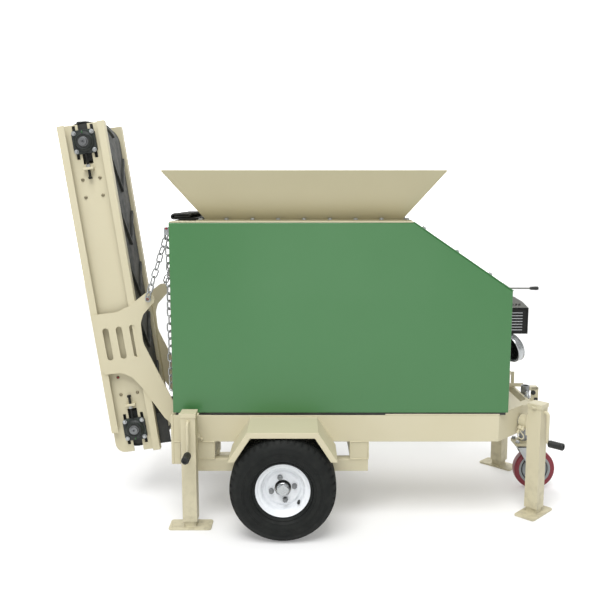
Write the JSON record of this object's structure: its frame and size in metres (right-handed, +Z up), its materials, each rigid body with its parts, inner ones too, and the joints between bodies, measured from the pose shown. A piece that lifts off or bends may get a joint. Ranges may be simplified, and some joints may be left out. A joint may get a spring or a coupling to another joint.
{
  "type": "portable jaw crusher",
  "caption": "Portable jaw crusher on a two-wheel chassis: green side panels, flared feed hopper, fold-up belt conveyor, swing-up screw jacks and a front caster.",
  "frame": {"origin": "on the ground under the middle of the machine's length and width", "axes": "+X towards the nose with the caster, +Z up, -Y is the side with the near panel"},
  "size_m": [2.3907, 1.282, 1.8102],
  "materials": {
    "cream_enamel": "semi-gloss enamel",
    "green_enamel": "gloss enamel",
    "grey_enamel": "satin enamel",
    "white_enamel": "gloss enamel",
    "cast_steel": "worn cast steel",
    "black_rubber": "matte",
    "belt_rubber": "matte",
    "tyre_rubber": "matte",
    "engine_metal": "cast, black painted",
    "black_sheet": "satin black",
    "bright_steel": "bright",
    "zinc_plate": "zinc plated",
    "bearing_iron": "painted dark",
    "caster_tread": "polyurethane",
    "black_grip": "moulded grip"
  },
  "bodies": {
    "chassis": {"side_rails": "cream_enamel", "rear_crossmember": "cream_enamel", "hinge_lugs": "cream_enamel", "front_crossmember": "cream_enamel", "nose_deck": "cream_enamel", "lower_rails": "cream_enamel", "cross_tubes": "cream_enamel", "axle": "cream_enamel", "fenders": "cream_enamel", "side_panel_right": "green_enamel", "side_panel_left": "green_enamel", "panel_frames": "cream_enamel", "top_cover": "grey_enamel", "sloped_cover": "green_enamel", "hopper": "cream_enamel", "rubber_cover": "black_rubber", "crusher_housing": "cream_enamel", "jaw_plates": "cast_steel", "discharge_chute": "cream_enamel", "discharge_flap": "black_rubber", "engine_block": "engine_metal", "engine_guard": "black_sheet", "engine_cover": "grey_enamel", "engine_shroud": "bright_steel", "hold_chains": "zinc_plate", "chain_anchors": "cream_enamel", "caster_stem": "zinc_plate", "lever_bracket": "black_sheet", "jack_stubs": "cream_enamel"},
    "wheel_right": {"tyre_right": "tyre_rubber", "wheel_rim_right": "white_enamel"},
    "wheel_left": {"tyre_left": "tyre_rubber", "wheel_rim_left": "white_enamel"},
    "conveyor": {"conveyor_channels": "cream_enamel", "conveyor_arms": "cream_enamel", "conveyor_bed": "cream_enamel", "conveyor_belt": "belt_rubber", "flange_bearings": "bearing_iron", "takeup_screws": "cream_enamel", "tail_skirt": "black_rubber"},
    "tail_pulley": {"tail_pulley": "cast_steel"},
    "head_pulley": {"head_pulley": "cast_steel"},
    "caster_fork": {"caster_fork": "zinc_plate"},
    "caster_wheel": {"caster_wheel": "caster_tread"},
    "control_lever": {"control_lever": "black_grip"},
    "jack_rear_right": {"jack_tube_rear_right": "cream_enamel"},
    "jack_rear_right_leg": {"jack_leg_rear_right": "cream_enamel"},
    "jack_rear_right_crank": {"jack_crank_rear_right": "cream_enamel"},
    "jack_rear_left": {"jack_tube_rear_left": "cream_enamel"},
    "jack_rear_left_leg": {"jack_leg_rear_left": "cream_enamel"},
    "jack_rear_left_crank": {"jack_crank_rear_left": "cream_enamel"},
    "jack_front_right": {"jack_tube_front_right": "cream_enamel"},
    "jack_front_right_leg": {"jack_leg_front_right": "cream_enamel"},
    "jack_front_right_crank": {"jack_crank_front_right": "cream_enamel"},
    "jack_front_left": {"jack_tube_front_left": "cream_enamel"},
    "jack_front_left_leg": {"jack_leg_front_left": "cream_enamel"},
    "jack_front_left_crank": {"jack_crank_front_left": "cream_enamel"}
  },
  "joints": [
    {"name": "wheel_right_spin", "type": "hinge", "parent": "chassis", "child": "wheel_right", "pos_m": [-0.164, -0.533, 0.23], "axis": [0, 1, 0], "continuous": true},
    {"name": "wheel_left_spin", "type": "hinge", "parent": "chassis", "child": "wheel_left", "pos_m": [-0.164, 0.533, 0.23], "axis": [0, 1, 0], "continuous": true},
    {"name": "conveyor_fold", "type": "hinge", "parent": "chassis", "child": "conveyor", "pos_m": [-0.688, 0, 0.415], "axis": [0, -1, 0], "range_deg": [0, 60], "deforming": ["hold_chains"]},
    {"name": "tail_pulley_spin", "type": "hinge", "parent": "conveyor", "child": "tail_pulley", "pos_m": [-0.889, 0, 0.356], "axis": [0, 1, 0], "continuous": true},
    {"name": "head_pulley_spin", "type": "hinge", "parent": "conveyor", "child": "head_pulley", "pos_m": [-1.07757, 0, 1.71498], "axis": [0, 1, 0], "continuous": true},
    {"name": "jack_rear_right_swing", "type": "hinge", "parent": "chassis", "child": "jack_rear_right", "pos_m": [-0.581, -0.45, 0.43], "axis": [0, 1, 0], "range_deg": [0, 90]},
    {"name": "jack_rear_right_slide", "type": "slide", "parent": "jack_rear_right", "child": "jack_rear_right_leg", "axis": [0, 0, -1], "range_m": [0, 0.25]},
    {"name": "jack_rear_right_turn", "type": "hinge", "parent": "jack_rear_right", "child": "jack_rear_right_crank", "pos_m": [-0.581, -0.45, 0.492], "axis": [0, 1, 0], "continuous": true},
    {"name": "jack_rear_left_swing", "type": "hinge", "parent": "chassis", "child": "jack_rear_left", "pos_m": [-0.581, 0.45, 0.43], "axis": [0, 1, 0], "range_deg": [0, 90]},
    {"name": "jack_rear_left_slide", "type": "slide", "parent": "jack_rear_left", "child": "jack_rear_left_leg", "axis": [0, 0, -1], "range_m": [0, 0.25]},
    {"name": "jack_rear_left_turn", "type": "hinge", "parent": "jack_rear_left", "child": "jack_rear_left_crank", "pos_m": [-0.581, 0.45, 0.492], "axis": [0, 1, 0], "continuous": true},
    {"name": "jack_front_right_swing", "type": "hinge", "parent": "chassis", "child": "jack_front_right", "pos_m": [1.001, -0.312, 0.43], "axis": [-0.7071, 0.7071, 0], "range_deg": [0, 90]},
    {"name": "jack_front_right_slide", "type": "slide", "parent": "jack_front_right", "child": "jack_front_right_leg", "axis": [0, 0, -1], "range_m": [0, 0.25]},
    {"name": "jack_front_right_turn", "type": "hinge", "parent": "jack_front_right", "child": "jack_front_right_crank", "pos_m": [1.001, -0.312, 0.492], "axis": [-0.7071, 0.7071, 0], "continuous": true},
    {"name": "jack_front_left_swing", "type": "hinge", "parent": "chassis", "child": "jack_front_left", "pos_m": [1.001, 0.312, 0.43], "axis": [0.7071, 0.7071, 0], "range_deg": [0, 90]},
    {"name": "jack_front_left_slide", "type": "slide", "parent": "jack_front_left", "child": "jack_front_left_leg", "axis": [0, 0, -1], "range_m": [0, 0.25]},
    {"name": "jack_front_left_turn", "type": "hinge", "parent": "jack_front_left", "child": "jack_front_left_crank", "pos_m": [1.001, 0.312, 0.492], "axis": [0.7071, 0.7071, 0], "continuous": true},
    {"name": "caster_swivel", "type": "hinge", "parent": "chassis", "child": "caster_fork", "pos_m": [1.034, 0, 0.2], "axis": [0, 0, 1], "continuous": true},
    {"name": "caster_roll", "type": "hinge", "parent": "caster_fork", "child": "caster_wheel", "pos_m": [1.092, 0, 0.102], "axis": [0, 1, 0], "continuous": true},
    {"name": "lever_swing", "type": "hinge", "parent": "chassis", "child": "control_lever", "pos_m": [0.83, -0.11, 1.034], "axis": [0, 0, 1], "range_deg": [-20, 20]}
  ]
}
